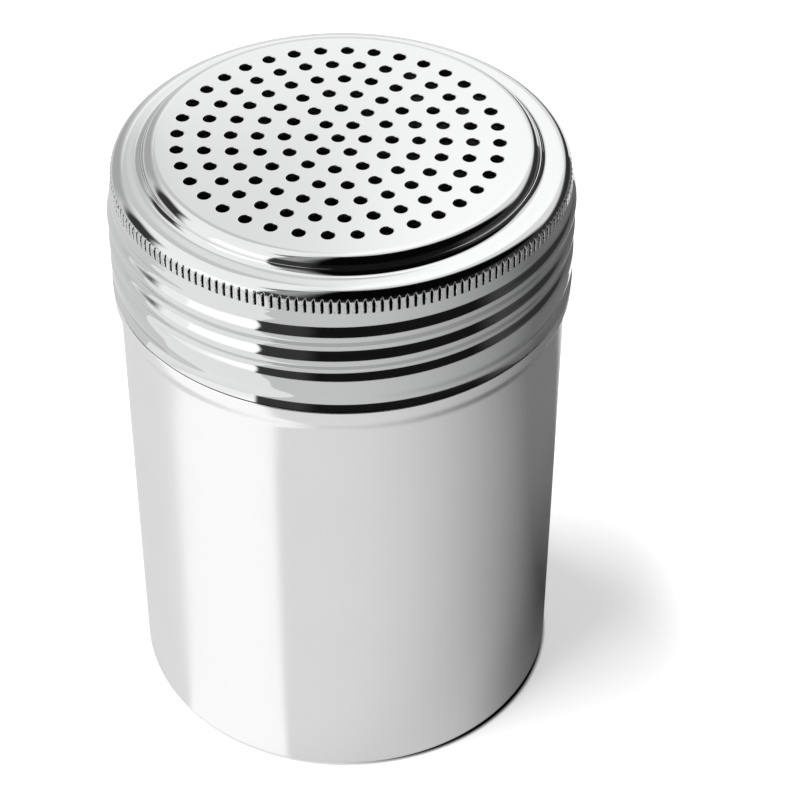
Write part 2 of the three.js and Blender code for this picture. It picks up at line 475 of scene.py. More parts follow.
@dataclass(frozen=True)
class SteelFinish:
    """Stainless steel, type 304, polished on a lathe, so its fine lines run round the axis.

    Such lines spread a reflection up and down, across themselves, and leave it sharp sideways. The
    finer the polish, the clearer the reflection.

    Args:
        name: The material's name.
        colour: The colour of its reflection as sRGB hex.
        roughness: The roughness of the surface.
        anisotropy: How far the lines draw a reflection out across themselves.
        line_spacing: The spacing of the polishing lines. Real ones are finer and wouldn't show.
        line_depth: The height of the polishing lines in the bump.
        wave_depth: The height of the slow unevenness of pressed sheet in the bump.
        wave_length: The length of that unevenness.
        smudge: How much rougher the metal is where it has been handled, as a share.
        smudge_size: The size of such a place.
        smudge_range: The noise where a smudge starts and where it is full.
        line_run: How far the noise of the lines moves in one radian, little enough for long lines.
        streak: How far the roughness changes from line to line, as a share.
        streak_range: The noise of the smoothest line and of the roughest.
        drawn_shaded_colour: The colour of an unpolished inner face, darkened as painted shade, as sRGB hex.
        drawn_roughness: The roughness of such a face.
        inward: A face is turned inwards where the product of its level normal and its place is less.
    """

    name: str
    colour: str
    roughness: float
    anisotropy: float
    line_spacing: float
    line_depth: float
    wave_depth: float
    wave_length: float
    smudge: float
    smudge_size: float = 17 * MM
    smudge_range: tuple[float, float] = (0.4, 0.75)
    line_run: float = 0.8 * MM
    streak: float = 0.03
    streak_range: tuple[float, float] = (0.3, 0.7)
    drawn_shaded_colour: str = "#8A8B8B"
    drawn_roughness: float = 0.42
    inward: float = 1 * MM

    def bumps(self, tree: Tree, waves: Socket, lines: Socket) -> Socket:
        """The normal with the slow unevenness of the sheet and, on top of it, the polishing lines.

        Args:
            tree: The material's node tree.
            waves: The noise of the unevenness.
            lines: The noise of the lines.

        Returns:
            The normal.
        """
        uneven = add_node(
            tree, "ShaderNodeBump", {"Height": waves, "Distance": self.wave_depth, "Strength": 1.0}
        ).outputs["Normal"]
        return add_node(
            tree, "ShaderNodeBump",
            {"Height": lines, "Distance": self.line_depth, "Strength": 1.0, "Normal": uneven},
        ).outputs["Normal"]

    def drawn_shaded_share(self, tree: Tree, coordinates: Node, height: Socket, drawn: float) -> Socket:
        """Tells an unpolished inner face with painted shade: one where level normal . place < inward and
        height > drawn.

        Args:
            tree: The material's node tree.
            coordinates: The node with the place and the normal.
            height: The height.
            drawn: The height above which a face turned inwards is left as drawn and painted darker as shade.

        Returns:
            One on such a face and zero elsewhere.
        """
        level = add_node(
            tree, "ShaderNodeVectorMath", {0: coordinates.outputs["Normal"], 1: LEVEL}, operation="MULTIPLY"
        ).outputs["Vector"]
        outward = add_node(
            tree, "ShaderNodeVectorMath", {0: level, 1: coordinates.outputs["Object"]},
            operation="DOT_PRODUCT",
        ).outputs["Value"]
        turned_in = add_node(
            tree, "ShaderNodeMath", {0: outward, 1: self.inward}, operation="LESS_THAN"
        ).outputs[0]
        above = add_node(tree, "ShaderNodeMath", {0: height, 1: drawn}, operation="GREATER_THAN").outputs[0]
        return add_node(tree, "ShaderNodeMath", {0: turned_in, 1: above}, operation="MULTIPLY").outputs[0]

    def material(self, painted_shade: PaintedShade | None = None, drawn: float | None = None) -> bpy.types.Material:
        """Builds the node tree: metal, with polishing lines and a slow unevenness in its bump.

        Args:
            painted_shade: The painted shade in fine notches and seams, where shade falls, if the piece has
                them.
            drawn: The height above which a face turned inwards is left as drawn and painted darker as shade,
                if there are such faces.

        Returns:
            The material.
        """
        material = bpy.data.materials.new(self.name)
        tree = cleared(material)
        coordinates = add_node(tree, "ShaderNodeTexCoord")
        place = coordinates.outputs["Object"]
        across, along, height = add_node(tree, "ShaderNodeSeparateXYZ", {0: place}).outputs
        flat = add_node(tree, "ShaderNodeCombineXYZ", {0: across, 1: along}).outputs[0]
        radius = add_node(tree, "ShaderNodeVectorMath", {0: flat}, operation="LENGTH").outputs["Value"]
        angle = add_node(tree, "ShaderNodeMath", {0: along, 1: across}, operation="ARCTAN2").outputs[0]
        sweep = add_node(
            tree, "ShaderNodeMath", {0: angle, 1: self.line_run}, operation="MULTIPLY"
        ).outputs[0]
        turned = add_node(tree, "ShaderNodeCombineXYZ", {0: radius, 1: height, 2: sweep}).outputs[0]
        lines, waves, handled = (
            add_node(
                tree, "ShaderNodeTexNoise",
                {"Vector": where, "Scale": 1 / size, "Detail": detail, "Roughness": rough},
            ).outputs["Fac"]
            for where, size, detail, rough in (
                (turned, self.line_spacing, 3.0, 0.6),
                (place, self.wave_length, 1.0, 0.5),
                (place, self.smudge_size, 4.0, 0.55),
            )
        )
        normal = self.bumps(tree, waves, lines)
        dulled, streaked = (
            add_node(
                tree, "ShaderNodeMapRange", {0: noise, 1: start, 2: end, 3: least, 4: most}
            ).outputs[0]
            for noise, (start, end), least, most in (
                (handled, self.smudge_range, self.roughness, self.roughness * (1 + self.smudge)),
                (lines, self.streak_range, 1 - self.streak, 1 + self.streak),
            )
        )
        gloss = add_node(tree, "ShaderNodeMath", {0: dulled, 1: streaked}, operation="MULTIPLY").outputs[0]
        colour: object = linear(self.colour)
        # Painted shade is mixed over the metal's colour here: dark notches and seams, and darker inner
        # faces.
        covers = []
        if painted_shade is not None:
            covers.append((painted_shade.share(tree, place, radius, height), painted_shade.colour, painted_shade.roughness))
        if drawn is not None:
            share = self.drawn_shaded_share(tree, coordinates, height, drawn)
            covers.append((share, self.drawn_shaded_colour, self.drawn_roughness))
        for share, code, roughness in covers:
            colour = add_node(
                tree, "ShaderNodeMix", {0: share, 6: colour, 7: linear(code)}, data_type="RGBA"
            ).outputs[2]
            gloss = add_node(tree, "ShaderNodeMapRange", {0: share, 3: gloss, 4: roughness}).outputs[0]
        tangent = add_node(tree, "ShaderNodeTangent", direction_type="RADIAL", axis="Z").outputs["Tangent"]
        steel = add_node(
            tree, "ShaderNodeBsdfPrincipled",
            {"Base Color": colour, "Metallic": 1.0, "Roughness": gloss, "Normal": normal,
             "Anisotropic": self.anisotropy, "Anisotropic Rotation": 0.25, "Tangent": tangent},
        )
        add_node(tree, "ShaderNodeOutputMaterial", {"Surface": steel.outputs["BSDF"]})
        return material


# The lid's polished steel gives the eye a clear mirror that is drawn out a little up and down.
POLISHED = SteelFinish(
    name="polished_stainless_steel", colour="#D4D5D5", roughness=0.06, anisotropy=0.7, smudge=0.35,
    line_spacing=0.3 * MM, line_depth=0.0003 * MM, wave_depth=0.006 * MM, wave_length=14 * MM,
)
# The can's satin steel gives it soft upright bands whose sides stay sharp.
SATIN = SteelFinish(
    name="satin_stainless_steel", colour="#F1F1F1", roughness=0.19, anisotropy=0.95, smudge=0.12,
    line_spacing=0.25 * MM, line_depth=0.00001 * MM, wave_depth=0.004 * MM, wave_length=30 * MM,
)


@dataclass
class Lid:
    """The screw lid: one stamped sheet with a perforated deck, a step, a shoulder, knurls and a thread.

    Args:
        deck: The height of the deck's top.
        edge: The height of the lower edge.
        wall: The radius of the knurled band, which is the can's.
    """

    deck: float
    edge: float
    wall: float
    sheet: float = 0.5 * MM
    guard: float = 0.1 * MM
    rim_width: float = 6.7 * MM
    deck_drop: float = 2.2 * MM
    step_tilt: float = 72
    deck_roll_share: float = 0.65
    step_line: float = 0.08 * MM
    shoulder_roll: float = 2.3 * MM
    shoulder_roll_drop: float = 1.85 * MM
    knurl_drop: float = 1.1 * MM
    knurl_height: float = 2.2 * MM
    knurl_depth: float = 0.3 * MM
    knurl_count: int = 180
    notch_sides: tuple[float, float] = (0.34 * MM, 0.16 * MM)
    notch_shares: tuple[float, float] = (1.15, 0.75)
    notch_brinks: tuple[float, float] = (1.03, 1.06)
    notch_end: float = 0.15 * MM
    ring_depth: float = 0.06 * MM
    ring_height: float = 0.36 * MM
    thread_pitch: float = 4.2 * MM
    crest_drop: float = 3.95 * MM
    thread_depth: float = 0.87 * MM
    thread_land: float = 0.85 * MM
    thread_rise: float = 1.4 * MM
    thread_end_rise: float = 4.25 * MM
    thread_fade: float = 3.2 * MM
    waist_depth: float = 0.45 * MM
    waist_height: float = 1.1 * MM
    edge_flare: float = 0.48 * MM
    flare_power: float = 1.1
    hole_margin: float = 3.55 * MM
    hole_radius: float = 0.96 * MM
    hole_rings: int = 6
    hole_phase: float = math.radians(-2)
    hole_sides: int = 20
    pattern_shift: tuple[float, float] = (-0.45 * MM, 0.25 * MM)
    rim: float = 0.12 * MM
    burr: float = 0.05 * MM

    @property
    def deck_radius(self) -> float:
        """Radius of the flat deck."""
        return self.wall - self.rim_width

    @property
    def hole_pitch(self) -> float:
        """Distance between the rings of holes."""
        return (self.deck_radius - self.hole_margin) / self.hole_rings

    @property
    def shoulder(self) -> float:
        """Height of the shoulder's outer edge."""
        return self.deck - self.deck_drop

    @property
    def knurl_top(self) -> float:
        """Height of the top of the notches, which run up into the roll-off."""
        return self.shoulder - self.knurl_drop

    @property
    def knurl_bottom(self) -> float:
        """Height of the bottom of the knurled band."""
        return self.knurl_top - self.knurl_height

    @property
    def thread_end(self) -> float:
        """Height where the grooves have died out."""
        return self.edge + self.thread_end_rise

    @property
    def crest_radius(self) -> float:
        """Radius of the thread's crests."""
        return self.wall + self.thread_depth

    @property
    def thread(self) -> HelicalThread:
        """The thread rolled into the skirt."""
        return HelicalThread(pitch=self.thread_pitch, crest=self.knurl_bottom - self.crest_drop)

    def skirt_radius(self, height: np.ndarray) -> np.ndarray:
        """Radius of the skirt before the grooves: a smoothstep from the knurled band to the crests."""
        start = self.knurl_bottom - self.thread_land
        return self.wall + self.thread_depth * smoothstep(start - height, 0, self.thread_rise)

    def groove(self, angle: np.ndarray, height: np.ndarray) -> np.ndarray:
        """Moves the skirt in to the knurl's radius between crests: -(crest - knurl) * fade * (1 - wave).

        Args:
            angle: Angles about Z in radians.
            height: Heights in metres.

        Returns:
            The outward shift in metres, zero or less.
        """
        fade = smoothstep(height, self.thread_end, self.thread_end + self.thread_fade)
        depth = self.skirt_radius(height) - self.wall
        return -depth * fade * (1 - self.thread.wave(angle, height))

    def band_radius(self, height: np.ndarray) -> np.ndarray:
        """Radius of the roll-off and the band: wall - w (1 - sin t), where cos t = 1 - drop / d."""
        turn = np.arccos(np.clip(1 - (self.shoulder - height) / self.shoulder_roll_drop, 0, 1))
        return self.wall - self.shoulder_roll * (1 - np.sin(turn))

    def notches(self, angle: np.ndarray, height: np.ndarray) -> np.ndarray:
        """Cuts the knurl notches: min(0, wall - depth * (1 - distance round / side) - band radius) * end.

        Each notch is a V with one long side and one steep side, narrower towards the bottom. It runs out
        at the top where the band rolls in past it, and rounds off at the bottom.

        Args:
            angle: Angles about Z in radians.
            height: Heights in metres.

        Returns:
            The outward shift in metres, zero or less.
        """
        pitch = TURN / self.knurl_count
        around = ((angle / pitch) % 1 - 0.5) * pitch * self.wall
        top_share, bottom_share = self.notch_shares
        down = smoothstep(self.knurl_top - height, 0, self.knurl_height)
        side = np.where(around < 0, *self.notch_sides) * (top_share + (bottom_share - top_share) * down)
        trough = np.clip(1 - np.abs(around) / side, 0, 1)
        cut = self.wall - self.knurl_depth * trough - self.band_radius(height)
        below = smoothstep(height - self.knurl_bottom, 0, self.notch_end)
        return np.minimum(0, cut) * (trough > 0) * below

    def knurl_angles(self) -> np.ndarray:
        """Angles of the columns that draw each notch: its middle, its sides, their edges and the ridge.

        Returns:
            Eight angles for each notch, in radians, the first on the middle of a ridge.
        """
        pitch = TURN / self.knurl_count
        left, right = (size / self.wall for size in self.notch_sides)
        before, after = -self.notch_brinks[0] * left, self.notch_brinks[1] * right
        within = np.array([-pitch / 2, before, -left, -left / 2, 0, right / 2, right, after]) + pitch / 2
        return (np.arange(self.knurl_count)[:, None] * pitch + within[None, :]).ravel()

    def roll_off(self, start: float, end: float, count: int) -> np.ndarray:
        """Part of the quarter ellipse from the shoulder to the band: (a + w sin t, b - d (1 - cos t)).

        Args:
            start: The first t in degrees.
            end: The last t in degrees.
            count: The number of steps.

        Returns:
            The points as rows of (radius, height).
        """
        turn = np.radians(np.linspace(start, end, count + 1))
        return np.stack([
            self.wall - self.shoulder_roll * (1 - np.sin(turn)),
            self.shoulder - self.shoulder_roll_drop * (1 - np.cos(turn)),
        ], axis=1)

    def upper_profile(self, detail: int) -> np.ndarray:
        """The outer face from the deck's edge down an S-shaped step and over the shoulder to the notches.

        The two arcs of the step lie step_tilt degrees below the level where they meet, on each side of a
        level line that the press left.

        Args:
            detail: The number of steps for each coarse one.

        Returns:
            The points as rows of (radius, height).
        """
        tilt = math.radians(self.step_tilt)
        bend = self.deck_drop / (1 - math.cos(tilt))
        roll = self.deck_roll_share * bend
        fillet = bend - roll
        foot = (self.deck_radius + bend * math.sin(tilt) + self.step_line, self.deck - self.deck_drop)
        return joined(
            line((self.deck_radius - self.guard, self.deck), (self.deck_radius, self.deck), 1),
            arc((self.deck_radius, self.deck - roll), roll, 90, 90 - self.step_tilt, 7 * detail),
            arc((foot[0], foot[1] + fillet), fillet, 270 - self.step_tilt, 270, 7 * detail),
            line(foot, (self.wall - self.shoulder_roll, self.shoulder), 2 * detail),
            self.roll_off(0, self.notch_start, 6 * detail),
        )

    @property
    def notch_start(self) -> float:
        """The t of the roll-off, in degrees, at the height where the notches start."""
        return math.degrees(math.acos(1 - self.knurl_drop / self.shoulder_roll_drop))

    def band_profile(self) -> np.ndarray:
        """The knurled band, with rows close together where the notches end."""
        top = self.roll_off(self.notch_start, 90, 6)
        bottom = line((self.wall, self.knurl_bottom + self.notch_end), (self.wall, self.knurl_bottom), 3)
        return joined(top, bottom)

    def lower_profile(self, detail: int) -> np.ndarray:
        """The outer face from a scored ring under the notches over the skirt and the waist to the edge.

        The edge flares by edge_flare * s^flare_power, with s from zero at the waist to one at the edge.

        Args:
            detail: The number of steps for each coarse one.

        Returns:
            The points as rows of (radius, height).
        """
        start = self.knurl_bottom - self.thread_land
        rows = np.linspace(start, self.thread_end, 20 * detail + 1)
        skirt = np.stack([self.skirt_radius(rows), rows], axis=1)
        ring_top = (self.wall, self.knurl_bottom)
        ring_middle = (self.wall - self.ring_depth, self.knurl_bottom - self.ring_height / 2)
        ring_end = (self.wall, self.knurl_bottom - self.ring_height)
        waist = (self.crest_radius - self.waist_depth, self.edge + self.waist_height)
        share = np.linspace(0, 1, 4 * detail + 1)
        flare = np.stack([
            waist[0] + self.edge_flare * share ** self.flare_power,
            self.edge + self.waist_height * (1 - share),
        ], axis=1)
        return joined(
            line(ring_top, ring_middle, 1),
            line(ring_middle, ring_end, 1),
            line(ring_end, (self.wall, start), 2 * detail),
            skirt,
            blend((self.crest_radius, self.thread_end - self.thread_land), waist, 4 * detail),
            flare,
        )

    def hole_centres(self) -> np.ndarray:
        """Centres of the holes: one in the middle, and ring n of six n holes at n pitches.

        Returns:
            Rows of (x, y).
        """
        rings = [np.zeros((1, 2))]
        for ring in range(1, self.hole_rings + 1):
            rings.append(on_circle(ring * self.hole_pitch, self.hole_phase + even_angles(6 * ring)))
        return np.concatenate(rings) + np.array(self.pattern_shift)

    def add_holes(self, surface: Surface) -> None:
        """Adds the wall of every hole: a profile in (distance from its axis, height) carried round it.

        The top rim rolls in where the punch entered, and the bottom edge is barely broken.
        """
        under = self.deck - self.sheet
        rim, burr = self.hole_radius + self.rim, self.hole_radius + self.burr
        profile = joined(
            line((rim + self.guard / 2, self.deck), (rim, self.deck), 1),
            arc((rim, self.deck - self.rim), self.rim, 90, 180, 3),
            line((self.hole_radius, self.deck - self.rim), (self.hole_radius, under + self.burr), 1),
            line((burr, under), (burr + self.guard / 2, under), 1),
        )
        wall = carried_round(profile, even_angles(self.hole_sides))
        for centre in self.hole_centres():
            surface.add_grid(wall + np.array([*centre, 0.0]))

    def add_plate(self, surface: Surface, height: float, edge: float, opening: float, flip: bool) -> None:
        """Adds one flat face of the deck: the triangles of its outline and its holes, with none in a hole.

        Args:
            surface: The mesh that gets the face.
            height: The height of the face.
            edge: The radius of its outer ring.
            opening: The radius of the ring round each hole.
            flip: Whether the face looks down.
        """
        centres = self.hole_centres()
        ring = on_circle(opening, even_angles(self.hole_sides))
        outlines = (centres[:, None, :] + ring[None, :, :]).reshape(-1, 2)
        flat = np.concatenate([on_circle(edge, even_angles(COLUMNS)), outlines])
        start = np.concatenate([[0], COLUMNS + np.arange(len(centres)) * self.hole_sides])
        size = np.concatenate([[COLUMNS], np.full(len(centres), self.hole_sides)])
        loop = np.repeat(start, size)
        step = np.arange(len(flat)) - loop
        edges = np.stack([np.arange(len(flat)), loop + (step + 1) % np.repeat(size, size)], axis=1)
        result = delaunay_2d_cdt((flat / MM).tolist(), edges.tolist(), [], 0, 1e-7)
        placed = np.array([tuple(point) for point in result[0]]) * MM
        faces = np.array(result[2])
        middle = placed[faces].mean(axis=1)
        nearest = np.linalg.norm(middle[:, None, :] - centres[None, :, :], axis=2).min(axis=1)
        faces = faces[nearest > opening * math.cos(math.pi / self.hole_sides)]
        snapped = np.linalg.norm(placed[:, None, :] - flat[None, :, :], axis=2).argmin(axis=1)
        points = np.column_stack([flat[snapped], np.full(len(placed), height)])
        surface.add(points, faces[:, ::-1] if flip else faces)

    def build(self) -> bpy.types.Object:
        """Builds the lid as one closed mesh and dresses it.

        Returns:
            The finished lid.
        """
        surface = Surface("perforated_lid_sheet")
        angles = even_angles(COLUMNS)
        upper, band, lower = self.upper_profile(2), self.band_profile(), self.lower_profile(2)
        coarse = joined(self.upper_profile(1), band[::2], self.lower_profile(1))
        inner = offset(coarse, self.sheet, Inside.RIGHT)
        upper_grid = carried_round(upper[:-1], angles)
        band_grid = carried_round(band, self.knurl_angles(), self.notches)
        lower_grid = carried_round(lower[1:], angles, self.groove)
        surface.add_grid(upper_grid, flip=True)
        surface.add_stitch(upper_grid[-1], band_grid[0])
        surface.add_grid(band_grid, flip=True)
        surface.add_stitch(lower_grid[0], band_grid[-1], flip=True)
        surface.add_grid(lower_grid, flip=True)
        inner_grid = carried_round(inner, angles, self.groove)
        surface.add_grid(np.stack([lower_grid[-1], inner_grid[-1]]), flip=True)
        surface.add_grid(inner_grid)
        self.add_holes(surface)
        self.add_plate(surface, self.deck, self.deck_radius - self.guard,
                       self.hole_radius + self.rim + self.guard / 2, flip=False)
        self.add_plate(surface, self.deck - self.sheet, inner[0, 0],
                       self.hole_radius + self.burr + self.guard / 2, flip=True)
        lid = surface.build()
        # Painted shade: the knurl notches are painted nearly black where shade falls in them.
        painted_shade = PaintedShade(top=self.knurl_top, bottom=self.knurl_bottom, surface=self.wall, depth=self.knurl_depth,
                    roll=(self.shoulder_roll, self.shoulder_roll_drop), roll_top=self.shoulder, grain=0.9)
        lid.data.materials.append(POLISHED.material(painted_shade))
        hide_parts("perforated_lid")
        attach(lid, "lid")
        return lid


@dataclass
class Can:
    """The deep-drawn can: foot ring, straight wall, bead, threaded neck and plain mouth.

    Args:
        thread: The thread that the neck's ridges follow.
        radius: The radius of the wall.
        mouth: The height of the mouth.
        lid_edge: The height of the lid's lower edge, which the bead stands under.
    """

    thread: HelicalThread
    radius: float
    mouth: float
    lid_edge: float
    sheet: float = 0.5 * MM
    seat_gap: float = 0.3 * MM
    lift_clearance: float = 0.4 * MM
    base_corner: float = 1.4 * MM
    foot_width: float = 3.8 * MM
    panel_rise: float = 1.5 * MM
    panel_slope: float = 1.6 * MM
    bead_proud: float = 0.85 * MM
    bead_blend: float = 2.8 * MM
    bead_flat: float = 1.4 * MM
    bead_round: float = 0.2 * MM
    neck_fillet: float = 0.9 * MM
    ridge: float = 0.8 * MM
    ridge_fade: float = 2.2 * MM
    ridge_land: float = 2.4 * MM
    seam_top: float = 0.1 * MM
    seam_bottom: float = -0.3 * MM
    seam_depth: float = 0.5 * MM

    def outer_profile(self) -> np.ndarray:
        """The outer face from the middle of the base to the mouth."""
        foot_outer = self.radius - self.base_corner
        foot_inner = foot_outer - self.foot_width
        bead_top = self.lid_edge - self.seat_gap
        shelf = bead_top - self.bead_round
        bead = self.radius + self.bead_proud
        neck = self.radius - self.sheet - self.lift_clearance - self.ridge
        wall_top = shelf - self.bead_flat - self.bead_blend
        return joined(
            line((0, self.panel_rise), (foot_inner - self.panel_slope, self.panel_rise), 4),
            line((foot_inner - self.panel_slope, self.panel_rise), (foot_inner, 0), 4),
            line((foot_inner, 0), (foot_outer, 0), 2),
            arc((foot_outer, self.base_corner), self.base_corner, -90, 0, 12),
            line((self.radius, self.base_corner), (self.radius, wall_top), 8),
            blend((self.radius, wall_top), (bead, shelf - self.bead_flat), 10),
            line((bead, shelf - self.bead_flat), (bead, shelf), 2),
            arc((bead - self.bead_round, shelf), self.bead_round, 0, 90, 6),
            arc((neck + self.neck_fillet, bead_top + self.neck_fillet), self.neck_fillet, 270, 180, 6),
            line((neck, bead_top + self.neck_fillet), (neck, self.mouth), 50),
        )

    def ridges(self, angle: np.ndarray, height: np.ndarray) -> np.ndarray:
        """Raises the neck's thread under the lid's crests: ridge * fade * wave, dying out at both ends.

        Args:
            angle: Angles about Z in radians.
            height: Heights in metres.

        Returns:
            The outward shift in metres.
        """
        top = self.mouth - self.ridge_land
        bottom = self.lid_edge - self.seat_gap + self.neck_fillet + self.ridge_land
        upper, lower = smoothstep(np.stack([top - height, height - bottom]), 0, self.ridge_fade)
        return self.ridge * upper * lower * self.thread.wave(angle, height)

    def build(self) -> bpy.types.Object:
        """Builds the can as one closed mesh and dresses it.

        Returns:
            The finished can.
        """
        surface = Surface("can_sheet")
        angles = even_angles(COLUMNS)
        outer = self.outer_profile()
        inner = offset(outer, self.sheet, Inside.LEFT)
        inner[0, 0] = 0
        outer_grid = carried_round(outer, angles, self.ridges)
        inner_grid = carried_round(inner, angles, self.ridges)
        surface.add_grid(outer_grid)
        surface.add_grid(np.stack([outer_grid[-1], inner_grid[-1]]))
        surface.add_grid(inner_grid, flip=True)
        can = surface.build()
        bead_top = self.lid_edge - self.seat_gap
        # Painted shade: the seam under the lid's edge, on top of the bead, is painted dark where shade
        # falls.
        painted_shade = PaintedShade(top=bead_top + self.seam_top, bottom=bead_top + self.seam_bottom,
                    surface=self.radius + self.bead_proud, depth=self.seam_depth)
        # Painted shade: the can's inner faces, rougher as drawn, are also painted darker for the shade
        # inside the closed can.
        can.data.materials.append(SATIN.material(painted_shade, self.panel_rise + self.sheet / 2))
        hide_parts("can")
        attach(can, "can")
        return can


@dataclass(frozen=True)
class Card:
    """A flat patch of the room that polished metal shows, placed by direction and soft at its edges.

    Args:
        bearing: Its left and right ends in degrees from the back, +Y, positive towards +X.
        elevation: Its bottom and top in degrees above the table.
        radiance: How bright it is.
        soft: The width of its soft edges in degrees.
        lean: How many degrees its sides move to the right for each degree up.
    """

    bearing: tuple[float, float]
    elevation: tuple[float, float]
    radiance: float
    soft: float = 2
    lean: float = 0

    def lay(self, tree: Tree, bearing: Socket, elevation: Socket, under: Socket | float) -> Socket:
        """Lays the card over what is there: mix(under, radiance, product of four smoothsteps).

        One vector carries the two rises and another the two falls, each with a third part that stays at one.

        Args:
            tree: The world's node tree.
            bearing: The bearing of a direction in degrees.
            elevation: The elevation of a direction in degrees.
            under: The radiance without this card.

        Returns:
            The radiance with it.
        """
        half = self.soft / 2
        (left, right), (bottom, top) = self.bearing, self.elevation
        leant = add_node(
            tree, "ShaderNodeMath", {0: elevation, 1: -self.lean, 2: bearing}, operation="MULTIPLY_ADD"
        ).outputs[0]
        place = add_node(tree, "ShaderNodeCombineXYZ", {0: leant, 1: elevation, 2: 0.0}).outputs[0]
        rise = add_node(
            tree, "ShaderNodeMapRange",
            {6: place, 7: (left - half, bottom - half, -2), 8: (left + half, bottom + half, -1)},
            data_type="FLOAT_VECTOR", interpolation_type="SMOOTHSTEP",
        ).outputs["Vector"]
        fall = add_node(
            tree, "ShaderNodeMapRange",
            {6: place, 7: (right - half, top - half, 1), 8: (right + half, top + half, 2),
             9: (1, 1, 1), 10: (0, 0, 0)},
            data_type="FLOAT_VECTOR", interpolation_type="SMOOTHSTEP",
        ).outputs["Vector"]
        both = add_node(tree, "ShaderNodeVectorMath", {0: rise, 1: fall}, operation="MULTIPLY").outputs[0]
        parts = add_node(tree, "ShaderNodeSeparateXYZ", {0: both}).outputs
        cover = add_node(tree, "ShaderNodeMath", {0: parts[0], 1: parts[1]}, operation="MULTIPLY").outputs[0]
        return add_node(
            tree, "ShaderNodeMix", {0: cover, 2: under, 3: self.radiance}, data_type="FLOAT"
        ).outputs[0]


EVEN_LIGHT = 0.2
ROOM = 0.002
CARDS = (
    Card(bearing=(-200, 200), elevation=(-100, -2), radiance=0.45, soft=6),
    Card(bearing=(-200, 200), elevation=(-6, 26), radiance=0.01, soft=8),
    Card(bearing=(72, 112), elevation=(-4, 22), radiance=0.07, soft=16),
    Card(bearing=(-160, -136), elevation=(30, 84), radiance=0.45, soft=20),
    Card(bearing=(-166, -138), elevation=(-3, 32), radiance=0.05, soft=10),
    Card(bearing=(-128, 66), elevation=(-6, 84), radiance=1.05, soft=14),
    Card(bearing=(-128, 14), elevation=(30, 84), radiance=1.25, soft=12),
    Card(bearing=(-142.5, -70), elevation=(-3, 56), radiance=1.27, soft=2),
    Card(bearing=(-142, -108), elevation=(6, 31), radiance=1.55, soft=3),
    Card(bearing=(8, 84), elevation=(-8, 24), radiance=0.04, soft=12, lean=1.2),
    Card(bearing=(-58, -18), elevation=(-20, 37), radiance=0.55, soft=22),
    Card(bearing=(-92, -66), elevation=(2, 39), radiance=0.05, soft=10, lean=0.37),
    Card(bearing=(-12, 30), elevation=(26, 37), radiance=1.38, soft=6),
    Card(bearing=(-22, 0), elevation=(33.5, 60), radiance=1.07, soft=6),
    Card(bearing=(-30, -7.4), elevation=(33.5, 60), radiance=0.82, soft=1.8),
    Card(bearing=(-1, 34), elevation=(35, 70), radiance=1.47, soft=8),
)


